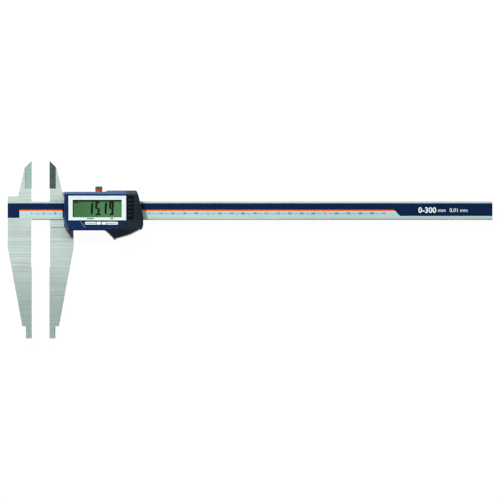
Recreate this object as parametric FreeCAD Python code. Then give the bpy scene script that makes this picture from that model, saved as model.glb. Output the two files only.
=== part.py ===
import FreeCAD, Part
import math
import os

# Digital caliper, 0 to 300 mm, lying on its back with the jaws open at one reading.
# Millimetres. While modelling: X = 0 is the fixed measuring face and X runs along the beam,
# Y = 0 is the beam's centreline with the short jaws towards +Y, Z = 0 is the beam's back face.
# On export everything moves so that the origin is the centre of the fixed measuring face.

V = FreeCAD.Vector

# --- reading and travel ---------------------------------------------------------------------
READING = 15.19
MAX_READING = 300.0

# --- beam with the fixed jaw ----------------------------------------------------------------
BLADE = 4.0                      # thickness of the beam and of all four jaws
BEAM_HALF = 8.0
BEAM_LEFT = -20.45
BEAM_RIGHT = 392.7
EDGE = 0.2                       # broken edges of the steel
BEAM_EDGE = 0.5                  # chamfer along the beam
GROOVE_HALF = 6.25
GROOVE_DEPTH = 0.6
ENCODER_T = 0.35
STRIP_T = 0.15
STRIP_HALF = 6.2

# --- jaws, described by u = distance from the measuring face, away from the gap -------------
LONG_TIP_Y = -109.0
NIB_TOP_Y = -98.6
FACE_TOP_Y = -48.1
SLOPE_TOP_Y = -31.1
JAW_ROOT_U = 20.45
JAW_TIP_U = 8.0
NIB_U = 5.0
NIB_SAGITTA = 0.8
RELIEF_U = 0.5
KNIFE_TIP_Y = 42.5
KNIFE_SHOULDER = (5.9, 36.7)     # u, y where the tip's slant begins
KNIFE_ROOT = (11.6, 12.2)        # u, y where the outer slope ends
KNIFE_FACE_Y = 19.0
KNIFE_ZONE_Y = 18.4
KNIFE_ZONE_U = 5.7
KNIFE_WALL = 0.35                # width in plan of the steep walls around the ground zone
KNIFE_RELIEF_U = 0.4
KNIFE_EDGE = 0.7                 # thickness left at the knife edge
FIXED_SHOULDER_Y = 12.1

# --- steel slider ---------------------------------------------------------------------------
SIDE_GAP = 0.05
RAIL_HALF = 15.5
SLIDER_RIGHT = 89.5
UPPER_RAIL_LEFT = 28.4
BACK_T = 2.65
BACK_GAP = 0.05
REST_Z = -(BACK_T + BACK_GAP)    # the plane the caliper lies on
LIP_Y = -14.45
LIP_RISE = 0.4
LIP_RIGHT = 27.7

# --- gib, clamp and screws ------------------------------------------------------------------
MID_Z = BLADE / 2
GIB = (31.0, 87.5)
GIB_T = 0.85
GIB_SCREW_X = (40.0, 74.5)
GIB_SCREW_R = 1.0
CLAMP_X = 57.2
CLAMP_SHANK_R = 1.45
CLAMP_KNOB_R = 3.1
CLAMP_RING_R = 2.95
CLAMP_RING_Y = (15.75, 17.8)
CLAMP_KNOB_Y = (17.8, 20.6)
KNURLS = 36
HOUSING_SCREWS = [(33.0, 12.3), (86.5, 12.3), (33.0, -12.3), (86.5, -12.3)]
SCREW_R = 0.8
SCREW_HEAD_R = 1.5
SCREW_END_Z = 9.3
BOSS_R = 1.7
HOLE_GAP = 0.05
HEAD_SINK = 0.05                 # how far every countersunk head lies below its plate

# --- housing --------------------------------------------------------------------------------
HOUSING_LEFT = 27.9
HOUSING_SPLIT = 80.9             # navy cover to the left, dark grip to the right
HOUSING_Y = (-17.0, 16.0)
HOUSING_Z = (4.1, 13.2)
CAVITY_TOP = 10.9
EDGE_R = 1.5
BOUND_LOW = (64.0, -16.0)        # the seam between cover and grip, lower stretch
BOUND_TURN = (75.1, -14.6)
BOUND_TOP = (80.9, -8.9)
TOP_SLOPE = (14.0, 0.4)          # y where the top starts to fall towards the upper side, and its slope
CORNER_FACET = ((29.2, -7.0), (33.1, -20.0), 0.46)    # start, end and slope of the lower left facet
THUMB_TIP = (70.6, -25.0)
THUMB_BEND = (83.9, -21.15)
HEEL = (94.3, -15.9)
THUMB_FOOT_Z = 0.4
THUMB_FOOT_RIGHT = 90.7
THUMB_FALL = 1.2                 # how far the thumb rest's top drops towards its tip
GRIPPING_SIDES = (               # start, end, teeth, depth of the grooves, lead of the bevel
    ((71.9, -24.62), THUMB_BEND, 7, 1.35, -4.0),
    (THUMB_BEND, (93.0, -16.56), 6, 1.35, -4.0),
    ((63.4, -17.7), (69.9, -24.2), 5, 0.45, 1.0),
)
GROOVE_SHARE = 0.86              # width of each groove's mouth as a share of the spacing
THUMB_BEVEL = (1.4, 2.6)         # width in plan and depth of the sloping band along the thumb rest

# --- display --------------------------------------------------------------------------------
BEZEL = (31.6, 80.85, -8.5, 12.5)
BEZEL_Z = (12.0, 13.4)
BEZEL_STEP = 0.12
WINDOW = (35.2, 76.95, -5.8, 9.1)
PANEL = (33.8, 78.2, -7.0, 10.5)
PANEL_Z = (9.9, 11.45)
GLASS_Z = (11.5, 12.3)

# --- keys -----------------------------------------------------------------------------------
KEYS = {"left_key": (45.8, 59.3, 55.2), "right_key": (60.0, 73.8, 63.8)}
KEY_Y = (-12.2, -9.6)
KEY_TOP = 13.6
KEY_END_R = 0.9
KEY_GROOVE = 0.75                # width of the groove across each key
KEY_TRAVEL = 0.8
KEY_SLOT_GAP = 0.12
RECESS_FLOOR = 12.4

# --- electronics and power ------------------------------------------------------------------
BASE_TOP = 5.2
BOARD = (31.0, 80.0, -13.6, 10.4)
BOARD_Z = (5.25, 6.05)
CELL = (79.5, 2.2, 8.0)          # centre x, centre y, radius of the coin cell
CELL_Z = (6.35, 9.55)
LID = (81.4, 86.9, -7.6, 12.1)
LID_Z = (11.8, 12.3)
LID_RIBS = 5
LID_RIB_PITCH = 3.3
LID_RIB_HALF = 0.9
LID_RIB_RISE = 0.65

# --- wipers and end stop --------------------------------------------------------------------
WIPER_HALF = 5.9
FRONT_WIPER = (26.6, 29.3)
FRONT_WIPER_TOP = 8.9
REAR_WIPER = (89.8, 91.0)
REAR_WIPER_TOP = 6.9
STOP_LENGTH = 8.0
STOP_HALF = 6.0
STOP_SCREW_Y = 3.2
STOP_SCREW_R = 0.9
STOP_SCREW_HEAD_R = 1.7
STOP_SCREW_END_Z = 2.8

ORIGIN = V(0, (LONG_TIP_Y + FACE_TOP_Y) / 2, MID_Z)


# ============================================================================================
# Small tools
# ============================================================================================

def box(x0, x1, y0, y1, z0, z1):
    return Part.makeBox(x1 - x0, y1 - y0, z1 - z0, V(x0, y0, z0))


def frame_box(rect, z0, z1, grow=0.0):
    x0, x1, y0, y1 = rect
    return box(x0 - grow, x1 + grow, y0 - grow, y1 + grow, z0, z1)


def prism(points, z0, z1):
    """A polygon in the XY plane, raised from z0 to z1."""
    ring = [V(x, y, z0) for x, y in points]
    return Part.Face(Part.makePolygon(ring + ring[:1])).extrude(V(0, 0, z1 - z0))


def prism_along_y(points, y0, y1):
    """A polygon in the XZ plane, run from y0 to y1."""
    ring = [V(x, y0, z) for x, z in points]
    return Part.Face(Part.makePolygon(ring + ring[:1])).extrude(V(0, y1 - y0, 0))


def prism_along_x(points, x0, x1):
    """A polygon in the YZ plane, run from x0 to x1."""
    ring = [V(x0, y, z) for y, z in points]
    return Part.Face(Part.makePolygon(ring + ring[:1])).extrude(V(x1 - x0, 0, 0))


def upright(x, y, r, z0, z1):
    return Part.makeCylinder(r, z1 - z0, V(x, y, z0))


def along_y(x, z, r, y0, y1):
    return Part.makeCylinder(r, y1 - y0, V(x, y0, z), V(0, 1, 0))


def pill(x0, x1, y0, y1, z0, z1):
    """A bar with half-round ends."""
    r = (y1 - y0) / 2
    mid = (y0 + y1) / 2
    ends = [upright(x, mid, r, z0, z1) for x in (x0 + r, x1 - r)]
    return union(box(x0 + r, x1 - r, y0, y1, z0, z1), *ends)


def union(first, *others):
    return first.fuse(list(others)).removeSplitter()


def cut(body, *tools):
    return body.cut(list(tools))


def soften(body, wanted, size, chamfer=False):
    """Round or chamfer the edges whose midpoint passes the test."""
    edges = []
    for edge in body.Edges:
        mid = edge.valueAt((edge.FirstParameter + edge.LastParameter) / 2)
        if wanted(edge, mid):
            edges.append(edge)
    return body.makeChamfer(size, edges) if chamfer else body.makeFillet(size, edges)


def is_upright(edge):
    ends = [v.Point for v in edge.Vertexes]
    return len(ends) == 2 and abs(ends[0].x - ends[1].x) < 1e-6 and abs(ends[0].y - ends[1].y) < 1e-6


def near(point, x, y, reach=0.01):
    return math.hypot(point.x - x, point.y - y) < reach


# ============================================================================================
# Jaws: the fixed pair faces +X (side = -1), the sliding pair faces -X (side = +1)
# ============================================================================================

def long_jaw(face_x, side, top_y):
    """One long jaw: a tapering blade with a measuring face and a nib with a rounded outer side."""
    outline = [
        (RELIEF_U, top_y),
        (RELIEF_U, FACE_TOP_Y),
        (0.0, FACE_TOP_Y),
        (0.0, NIB_TOP_Y),
        (JAW_TIP_U, NIB_TOP_Y),
        (JAW_ROOT_U, SLOPE_TOP_Y),
        (JAW_ROOT_U, top_y),
    ]
    blade = prism([(face_x + side * u, y) for u, y in outline], 0, BLADE)
    blade = soften(blade, lambda e, m: on_outer_side(e, m, face_x, top_y), EDGE, chamfer=True)
    return union(blade, nib(face_x, side))


def on_outer_side(edge, mid, face_x, top_y):
    """The long edges of a jaw's outer side, on both faces."""
    outer = abs(mid.x - face_x) > JAW_TIP_U - 0.1
    return outer and NIB_TOP_Y + 1 < mid.y < top_y - 1 and not is_upright(edge)


def nib(face_x, side):
    """The narrow end: flat towards the gap, bulging outwards for inside measurements."""
    y = NIB_TOP_Y
    flank = face_x + side * (NIB_U - NIB_SAGITTA)
    crown = face_x + side * NIB_U
    corners = [V(flank, y, 0), V(face_x, y, 0), V(face_x, y, BLADE), V(flank, y, BLADE)]
    sides = [Part.LineSegment(a, b).toShape() for a, b in zip(corners, corners[1:])]
    bulge = Part.Arc(corners[3], V(crown, y, BLADE / 2), corners[0]).toShape()
    section = Part.Face(Part.Wire(sides + [bulge]))
    return section.extrude(V(0, LONG_TIP_Y - NIB_TOP_Y, 0))


def knife_jaw(face_x, side, root_y):
    """One short jaw: a pointed blade, ground thin on both faces along its knife edge."""
    relief = KNIFE_RELIEF_U
    outline = [
        (relief, root_y),
        (relief, KNIFE_FACE_Y - 0.7),
        (0.0, KNIFE_FACE_Y),
        (0.0, KNIFE_TIP_Y),
        KNIFE_SHOULDER,
        KNIFE_ROOT,
        (KNIFE_ROOT[0], root_y),
    ]
    blade = prism([(face_x + side * u, y) for u, y in outline], 0, BLADE)
    front = knife_ground(face_x, side)
    back = front.mirror(V(0, 0, MID_Z), V(0, 0, 1))
    return cut(blade, front, back)


def knife_ground(face_x, side):
    """The metal ground away from the front face: a sloping floor with steep outer and lower walls."""
    over = BLADE + 0.2
    floor_in = MID_Z + KNIFE_EDGE / 2
    floor_out = floor_in + 0.9
    zone = KNIFE_ZONE_U
    across = [(zone, over), (zone - KNIFE_WALL, floor_out), (-0.3, floor_in), (-0.3, over)]
    slope = prism_along_y([(face_x + side * u, z) for u, z in across], KNIFE_ZONE_Y, KNIFE_TIP_Y + 1)
    lengthwise = [
        (KNIFE_ZONE_Y, over),
        (KNIFE_ZONE_Y + KNIFE_WALL, floor_in - 0.1),
        (KNIFE_TIP_Y + 1, floor_in - 0.1),
        (KNIFE_TIP_Y + 1, over),
    ]
    reach = sorted((face_x - side * 1.0, face_x + side * (zone + 1)))
    end_wall = prism_along_x(lengthwise, *reach)
    return slope.common(end_wall)


# ============================================================================================
# Beam and what is fixed to it
# ============================================================================================

def stop_x():
    """Where the end stop begins: just past the slider's end at the widest opening."""
    return SLIDER_RIGHT + (MAX_READING - READING) + 0.5


def stop_screw_places():
    middle = stop_x() + STOP_LENGTH / 2
    return [(middle, -STOP_SCREW_Y), (middle, STOP_SCREW_Y)]


def beam():
    bar = box(BEAM_LEFT, BEAM_RIGHT, -BEAM_HALF, BEAM_HALF, 0, BLADE)
    bar = soften(bar, lambda e, m: abs(m.x - (BEAM_LEFT + BEAM_RIGHT) / 2) < 1, BEAM_EDGE, chamfer=True)
    head = box(BEAM_LEFT, -RELIEF_U, -BEAM_HALF - 1, FIXED_SHOULDER_Y, 0, BLADE)
    body = union(bar, head, long_jaw(0.0, -1, -BEAM_HALF), knife_jaw(0.0, -1, BEAM_HALF - 0.5))
    groove = box(BEAM_LEFT - 1, BEAM_RIGHT + 1, -GROOVE_HALF, GROOVE_HALF, BLADE - GROOVE_DEPTH, BLADE + 1)
    notch = upright(-RELIEF_U, -BEAM_HALF - 0.2, 0.6, -1, BLADE + 1)
    depth = STOP_SCREW_END_Z + 0.2
    holes = [upright(x, y, STOP_SCREW_R + HOLE_GAP, -1, depth) for x, y in stop_screw_places()]
    return cut(body, groove, notch, *holes)


def encoder_scale():
    """The capacitive scale board bonded into the groove, under the printed film."""
    low = BLADE - GROOVE_DEPTH
    return box(BEAM_LEFT, BEAM_RIGHT, -STRIP_HALF, STRIP_HALF, low, low + ENCODER_T)


def scale_strip():
    """The printed film that covers the encoder scale."""
    low = BLADE - GROOVE_DEPTH + ENCODER_T
    return box(BEAM_LEFT, BEAM_RIGHT, -STRIP_HALF, STRIP_HALF, low, low + STRIP_T)


def countersunk_screw(x, y, low, top, r, head_r):
    """A screw driven from below: cone head at the bottom, straight shank, cross recess."""
    cone = Part.makeCone(head_r, r, head_r - r, V(x, y, low))
    shank = upright(x, y, r, low + head_r - r - 0.01, top)
    arm = head_r * 0.62
    cross = [
        box(x - arm, x + arm, y - 0.16, y + 0.16, low - 0.1, low + 0.45),
        box(x - 0.16, x + 0.16, y - arm, y + arm, low - 0.1, low + 0.45),
    ]
    return cut(union(cone, shank), *cross)


def countersink(x, y, low, r, head_r):
    gap = HOLE_GAP
    return Part.makeCone(head_r + 2 * gap + 0.1, r + gap, head_r - r + gap + 0.1, V(x, y, low - 0.1))


def end_stop():
    left = stop_x()
    body = box(left, left + STOP_LENGTH, -STOP_HALF, STOP_HALF, REST_Z, 0)
    body = soften(body, lambda e, m: is_upright(e), 1.2)
    r, head_r = STOP_SCREW_R, STOP_SCREW_HEAD_R
    for x, y in stop_screw_places():
        body = cut(body, upright(x, y, r + HOLE_GAP, REST_Z - 1, 1), countersink(x, y, REST_Z, r, head_r))
    return body


def end_stop_screws():
    sizes = (REST_Z + HEAD_SINK, STOP_SCREW_END_Z, STOP_SCREW_R, STOP_SCREW_HEAD_R)
    return Part.makeCompound([countersunk_screw(x, y, *sizes) for x, y in stop_screw_places()])


# ============================================================================================
# Slider: steel body, gib, clamp
# ============================================================================================

def slider_jaw():
    """The sliding jaws, the two rails beside the beam and the plate behind it, in one piece."""
    inner = BEAM_HALF + SIDE_GAP
    left = READING + RELIEF_U
    low_rail = box(READING + JAW_ROOT_U - 1, SLIDER_RIGHT, -RAIL_HALF, -inner, 0, BLADE)
    top_root = box(READING + KNIFE_RELIEF_U, UPPER_RAIL_LEFT + 1, inner, KNIFE_ROOT[1], 0, BLADE)
    top_rail = box(UPPER_RAIL_LEFT, SLIDER_RIGHT, inner, RAIL_HALF, 0, BLADE)
    back = box(left, SLIDER_RIGHT, -RAIL_HALF, RAIL_HALF, REST_Z, -BACK_GAP)
    rails = [
        box(left, SLIDER_RIGHT, -RAIL_HALF, -inner, -BACK_GAP - 0.1, 0.1),
        box(left, SLIDER_RIGHT, inner, KNIFE_ROOT[1], -BACK_GAP - 0.1, 0.1),
    ]
    back = soften(back, lambda e, m: abs(m.z - REST_Z) < 0.01, EDGE, chamfer=True)
    lip = box(left, LIP_RIGHT, LIP_Y, -inner, BLADE - 0.1, BLADE + LIP_RISE)
    lip = soften(lip, lambda e, m: abs(m.y - LIP_Y) < 0.01 and m.z > BLADE + 0.1, 0.3, chamfer=True)
    jaws = [long_jaw(READING, 1, -inner), knife_jaw(READING, 1, inner)]
    body = union(jaws[0], jaws[1], low_rail, top_root, top_rail, back, lip, *rails)
    return cut(body, *slider_holes())


def slider_holes():
    pocket = BEAM_HALF + SIDE_GAP
    tools = [box(GIB[0] - 0.2, GIB[1] + 0.2, pocket - 0.1, BEAM_HALF + GIB_T + 0.1, 0.1, BLADE + 1)]
    tools.append(along_y(CLAMP_X, MID_Z, CLAMP_SHANK_R + HOLE_GAP, pocket, RAIL_HALF + 1))
    for x in GIB_SCREW_X:
        tools.append(along_y(x, MID_Z, GIB_SCREW_R + HOLE_GAP, pocket, RAIL_HALF + 1))
    for x, y in HOUSING_SCREWS:
        tools.append(upright(x, y, SCREW_R + HOLE_GAP, REST_Z - 1, BLADE + 1))
        tools.append(countersink(x, y, REST_Z, SCREW_R, SCREW_HEAD_R))
    return tools


def gib_strip():
    """A thin bronze strip that takes up the play between the upper rail and the beam."""
    low = BEAM_HALF + 0.03
    strip = box(GIB[0], GIB[1], low, BEAM_HALF + GIB_T, 0.25, BLADE - 0.15)
    dimples = [along_y(x, MID_Z, 0.6, BEAM_HALF + GIB_T - 0.25, BEAM_HALF + GIB_T + 1) for x in GIB_SCREW_X]
    return cut(strip, *dimples)


def gib_screws():
    """Two slotted grub screws that press on the gib."""
    screws = []
    for x in GIB_SCREW_X:
        body = along_y(x, MID_Z, GIB_SCREW_R, BEAM_HALF + GIB_T + 0.02, RAIL_HALF - 0.6)
        slot = box(x - 1.2, x + 1.2, RAIL_HALF - 1.1, RAIL_HALF, MID_Z - 0.15, MID_Z + 0.15)
        screws.append(cut(body, slot))
    return Part.makeCompound(screws)


def clamp_shoe():
    """A soft plug that the clamp screw drives against the gib."""
    low = BEAM_HALF + GIB_T + 0.2
    body = along_y(CLAMP_X, MID_Z, CLAMP_SHANK_R, low, low + 1.25)
    return soften(body, lambda e, m: m.y < low + 0.01 and len(e.Vertexes) == 1, 0.2, chamfer=True)


def clamp_screw():
    """The thumb screw: shank, collar and a knurled head."""
    y0, y1 = CLAMP_KNOB_Y
    steps = 2 * KNURLS
    ring = []
    for i in range(steps):
        r = CLAMP_KNOB_R if i % 2 else CLAMP_KNOB_R - 0.28
        a = 2 * math.pi * i / steps
        ring.append(V(CLAMP_X + r * math.cos(a), y0, MID_Z + r * math.sin(a)))
    knob = Part.Face(Part.makePolygon(ring + ring[:1])).extrude(V(0, y1 - y0, 0))
    dome = Part.makeCone(CLAMP_KNOB_R + 1.9, CLAMP_KNOB_R - 0.35, y1 - y0, V(CLAMP_X, y0, MID_Z), V(0, 1, 0))
    knob = knob.common(dome)
    dish = along_y(CLAMP_X, MID_Z, 1.7, y1 - 0.25, y1 + 1)
    shank = along_y(CLAMP_X, MID_Z, CLAMP_SHANK_R, BEAM_HALF + GIB_T + 1.5, y0 + 0.2)
    return cut(union(knob, shank), dish)


def clamp_ring():
    """The coloured collar under the screw's head."""
    y0, y1 = CLAMP_RING_Y
    ring = along_y(CLAMP_X, MID_Z, CLAMP_RING_R, y0, y1 - 0.02)
    ring = soften(ring, lambda e, m: len(e.Vertexes) == 1, 0.25)
    return cut(ring, along_y(CLAMP_X, MID_Z, CLAMP_SHANK_R + HOLE_GAP, y0 - 1, y1 + 1))


# ============================================================================================
# Housing: one envelope, hollowed and then parted into the navy cover and the dark grip
# ============================================================================================

def envelope():
    low_y, top_y = HOUSING_Y
    z0, z1 = HOUSING_Z
    outline = [
        (HOUSING_LEFT, -13.0),
        (HOUSING_LEFT + 1.7, low_y),
        (62.4, low_y),
        THUMB_TIP,
        THUMB_BEND,
        HEEL,
        (95.2, -12.4),
        (95.2, -6.8),
        (92.75, 6.4),
        (91.2, 12.6),
        (89.6, 17.1),
        (65.1, 17.1),
        (62.6, top_y),
        (HOUSING_LEFT, top_y),
    ]
    body = prism(outline, z0, z1)
    corners = {1.2: [(HOUSING_LEFT, top_y)], 1.6: [(89.6, 17.1), THUMB_TIP], 3.4: [HEEL]}
    for r, places in corners.items():
        body = soften(body, lambda e, m: is_upright(e) and any(near(m, *p) for p in places), r)
    body = soften(body, lambda e, m: abs(m.z - z1) < 0.01, EDGE_R)
    slab = body.common(box(64.2, THUMB_FOOT_RIGHT, -30, -15.9, z0 - 1, z0 + 0.2))
    body = union(body, prism_below(slab, z0))
    fall = [(-15.9, z1), (-26.0, z1 + 1), (-26.0, z1 - THUMB_FALL)]
    slope_y, slope = TOP_SLOPE
    top_slope = facet((100.0, slope_y), (20.0, slope_y), slope, 5.0)
    corner = facet(*CORNER_FACET, 5.0)
    return cut(body, prism_along_x(fall, 62.8, 100.0), top_slope, corner, *thumb_bevels())


def facet(start, end, slope, reach):
    """A wedge that lets the housing's top fall away to the right of the line from start to end."""
    (x0, y0), (x1, y1) = start, end
    length = math.hypot(x1 - x0, y1 - y0)
    along = V((x1 - x0) / length, (y1 - y0) / length, 0)
    outward = V(along.y, -along.x, 0)
    base = V(x0, y0, HOUSING_Z[1])
    over = V(0, 0, 1)
    ring = [base, base + outward * reach - over * (reach * slope), base + outward * reach + over, base + over]
    return Part.Face(Part.makePolygon(ring + ring[:1])).extrude(along * length)


def prism_below(slab, z0):
    """The thumb rest's footprint carried down beside the steel rail."""
    plan = [f for f in slab.Faces if abs(f.CenterOfMass.z - z0) < 0.01 and abs(f.normalAt(0, 0).z) > 0.9]
    return plan[0].extrude(V(0, 0, THUMB_FOOT_Z - z0))


def cavity():
    """The outline in plan of the hollow that both shells share."""
    return [
        (29.4, -12.8),
        (30.7, -15.6),
        (91.5, -15.6),
        (93.6, -12.2),
        (93.6, -7.0),
        (91.3, 6.0),
        (89.9, 11.8),
        (88.7, 15.6),
        (65.4, 15.6),
        (63.0, 14.5),
        (29.4, 14.5),
    ]


def run_frame(start, end):
    """Start, unit direction and outward unit normal of one straight side of the thumb rest."""
    (x0, y0), (x1, y1) = start, end
    length = math.hypot(x1 - x0, y1 - y0)
    along = V((x1 - x0) / length, (y1 - y0) / length, 0)
    outward = V(along.y, -along.x, 0)
    if outward.y > 0:
        outward = -outward
    return V(x0, y0, 0), along, outward, length


def thumb_bevels():
    """The sloping band along the top of the gripping sides."""
    width, depth = THUMB_BEVEL
    top = V(0, 0, HOUSING_Z[1] - THUMB_FALL * 0.45)
    tools = []
    for first, last, _, _, lead in GRIPPING_SIDES:
        start, along, outward, length = run_frame(first, last)
        base = start + along * lead + outward * 0.1 + top
        ring = [
            base - outward * width,
            base - V(0, 0, depth),
            base + outward * 3 - V(0, 0, depth),
            base + outward * 3 + V(0, 0, 3),
            base - outward * width + V(0, 0, 3),
        ]
        section = Part.Face(Part.makePolygon(ring + ring[:1]))
        tools.append(section.extrude(along * (length + 6 - max(lead, 0))))
    return tools


def serrations():
    """Grooves down the thumb rest: coarse ones along its long side, fine ones along its short side."""
    tools = []
    for first, last, count, depth, _ in GRIPPING_SIDES:
        start, along, outward, length = run_frame(first, last)
        half = length / count * GROOVE_SHARE / 2
        for i in range(count):
            centre = start + along * (length * (i + 0.5) / count)
            mouth = centre + outward * 0.05
            points = [mouth - along * half, centre - outward * depth, mouth + along * half]
            points += [points[2] + outward * 2, points[0] + outward * 2]
            tools.append(prism([(p.x, p.y) for p in points], THUMB_FOOT_Z - 1, HOUSING_Z[1] + 1))
    return tools


def key_recess():
    """The shallow landing around the keys, with a sloping left wall and a ramp on the right."""
    top = HOUSING_Z[1] + 1
    floor = RECESS_FLOOR
    low_y, high_y = -14.2, -8.0
    landing = prism([(42.15, high_y), (46.75, low_y), (74.6, low_y), (74.6, high_y)], floor, top)
    wall = facet((47.15, -17.2), (38.75, -6.0), (HOUSING_Z[1] - floor) / 1.5, 1.5)
    wall = wall.common(box(36.0, 50.0, low_y, high_y, floor, top))
    ramp = prism_along_y([(74.5, floor), (80.4, HOUSING_Z[1]), (80.4, top), (74.5, top)], low_y, high_y)
    return [landing, wall, ramp]


def hollow_housing():
    body = cut(envelope(), prism(cavity(), HOUSING_Z[0] - 0.5, CAVITY_TOP), *serrations())
    z_top = HOUSING_Z[1] + 1
    for x, y in HOUSING_SCREWS:
        body = body.fuse(upright(x, y, BOSS_R, BASE_TOP + 0.1, CAVITY_TOP + 0.1))
    tools = [upright(x, y, SCREW_R + HOLE_GAP, BLADE, SCREW_END_Z + 0.3) for x, y in HOUSING_SCREWS]
    tools.append(frame_box(BEZEL, BEZEL_Z[0], z_top, grow=0.05))
    tools.append(frame_box(PANEL, CAVITY_TOP - 1, z_top, grow=0.2))
    tools += key_recess()
    ends = (KEYS["left_key"][0], KEYS["right_key"][1])
    tools.append(key_bar(*ends, KEY_SLOT_GAP, CAVITY_TOP - 1, z_top, ends))
    tools.append(frame_box(LID, LID_Z[0] - 0.3, z_top, grow=0.1))
    tools.append(frame_box(LID, CAVITY_TOP - 1, z_top, grow=-0.7))
    wiper_half = WIPER_HALF + 0.1
    tools.append(box(HOUSING_LEFT - 1, 30, -wiper_half, wiper_half, 3.0, FRONT_WIPER_TOP + 0.1))
    tools.append(along_y(CLAMP_X, MID_Z, CLAMP_RING_R + 0.3, 14.0, 17.0))
    return cut(body, *tools)


def cover_side(gap):
    """The plan region of the navy cover, kept back from the seam by the gap."""
    return [
        (20, -30),
        (62.7, -30),
        (62.7 - gap, -16.7),
        (BOUND_LOW[0] - gap, BOUND_LOW[1] + gap),
        (BOUND_TURN[0] - gap, BOUND_TURN[1] + gap),
        (BOUND_TOP[0] - gap, BOUND_TOP[1] + gap),
        (HOUSING_SPLIT - gap, 30),
        (20, 30),
    ]


def largest(shape):
    return max(shape.Solids, key=lambda s: s.Volume)


def housing_cover(housing):
    return largest(housing.common(prism(cover_side(0.03), -5, 30)))


def thumb_grip(housing):
    return largest(housing.cut(prism(cover_side(-0.03), -5, 30)))


def housing_base():
    """The chassis plate on the rails that carries the electronics and closes the housing."""
    gap = 0.15
    outline = [
        (29.4 + gap, -12.8),
        (30.7 + gap, -15.6 + gap),
        (89.4, -15.6 + gap),
        (89.4, 11.8),
        (88.4, 15.6 - gap),
        (65.5, 15.6 - gap),
        (63.1, 14.5 - gap),
        (29.4 + gap, 14.5 - gap),
    ]
    plate = prism(outline, BLADE + 0.02, BASE_TOP)
    tools = [
        box(20, 100, -BEAM_HALF - 0.1, BEAM_HALF + 1.2, 3.0, BLADE + 0.12),
        box(33.4, 75.6, -6.6, 6.6, 3.0, BASE_TOP + 1),
        along_y(CLAMP_X, MID_Z, CLAMP_RING_R + 0.3, 14.0, 17.0),
    ]
    tools += [upright(x, y, SCREW_R + HOLE_GAP, 3.0, BASE_TOP + 1) for x, y in HOUSING_SCREWS]
    return cut(plate, *tools)


def housing_seal():
    """A flat rubber frame between the chassis plate and the shells."""
    z0, z1 = BASE_TOP + 0.02, BASE_TOP + 0.5
    outer = box(29.6, 88.8, -15.4, 14.3, z0, z1)
    inner = box(30.6, 87.8, -14.4, 13.3, z0 - 1, z1 + 1)
    corner = prism([(29, -16), (31.2, -16), (29, -12)], z0 - 1, z1 + 1)
    ring = cut(outer, inner, corner)
    bosses = [upright(x, y, BOSS_R + 0.1, z0 - 1, z1 + 1) for x, y in HOUSING_SCREWS]
    return largest(cut(ring, *bosses))


def housing_screws():
    """Four countersunk screws from the back, through the steel into the shells' bosses."""
    sizes = (REST_Z + HEAD_SINK, SCREW_END_Z, SCREW_R, SCREW_HEAD_R)
    return Part.makeCompound([countersunk_screw(x, y, *sizes) for x, y in HOUSING_SCREWS])


def wipers():
    """The two scrapers that keep swarf off the scale."""
    low = BLADE + 0.02
    front = box(FRONT_WIPER[0], FRONT_WIPER[1], -WIPER_HALF, WIPER_HALF, low, FRONT_WIPER_TOP)
    front = soften(front, lambda e, m: abs(m.x - FRONT_WIPER[0]) < 0.01 and m.z > 8, 0.5, chamfer=True)
    rear = box(REAR_WIPER[0], REAR_WIPER[1], -WIPER_HALF, WIPER_HALF, low, REAR_WIPER_TOP)
    return Part.makeCompound([front, rear])


# ============================================================================================
# Display and keys
# ============================================================================================

def bezel():
    """The white frame: a raised rim, a step down and the display opening."""
    z0, z1 = BEZEL_Z
    body = frame_box(BEZEL, z0, z1)
    body = soften(body, lambda e, m: abs(m.z - z1) < 0.01, 0.25, chamfer=True)
    step = frame_box(WINDOW, z1 - BEZEL_STEP, z1 + 1, grow=2.0)
    bevel = soften(frame_box(WINDOW, z0 - 1, z1 + 0.3), lambda e, m: is_upright(e), 0.4)
    pocket = frame_box(PANEL, z0 - 1, GLASS_Z[1] + 0.05, grow=0.2)
    return cut(body, step, bevel, pocket)


def display_window():
    return frame_box(PANEL, *GLASS_Z)


def lcd_panel():
    """Two glass plates: the lower one is longer, for the contact ledges."""
    z0, z1 = PANEL_Z
    lower = frame_box(PANEL, z0, z0 + 0.75)
    upper = box(PANEL[0], PANEL[1], PANEL[2] + 1.2, PANEL[3] - 1.2, z0 + 0.7, z1)
    return union(lower, upper)


def lcd_holder():
    """A frame on the board that keeps the display and its contact strips in line."""
    z0, z1 = BOARD_Z[1] + 0.02, PANEL_Z[0] - 0.05
    outer = box(33.2, 78.8, -8.1, 11.2, z0, z1)
    inner = box(34.2, 77.8, -7.2, 10.4, z0 - 1, z1 + 1)
    cell = upright(CELL[0], CELL[1], CELL[2] + 0.4, z0 - 1, z1 + 1)
    clear = [upright(x, y, BOSS_R + 0.1, z0 - 1, z1 + 1) for x, y in HOUSING_SCREWS]
    return largest(cut(outer, inner, cell, *clear))


def zebra_strips():
    """Conductive rubber bars from the board to the display's contact ledges."""
    z0, z1 = BOARD_Z[1] + 0.01, PANEL_Z[0] - 0.01
    return Part.makeCompound([box(36.0, 74.5, 9.2, 10.2, z0, z1), box(36.0, 74.5, -7.0, -6.0, z0, z1)])


def key_bar(x0, x1, grow, z0, z1, round_ends):
    """A bar as high as the keys, grown all round, with its corners rounded at the given ends."""
    body = box(x0 - grow, x1 + grow, KEY_Y[0] - grow, KEY_Y[1] + grow, z0, z1)
    reach = grow + 0.01
    picked = lambda e, m: is_upright(e) and any(abs(m.x - x) < reach for x in round_ends)
    return soften(body, picked, KEY_END_R + grow)


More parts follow.
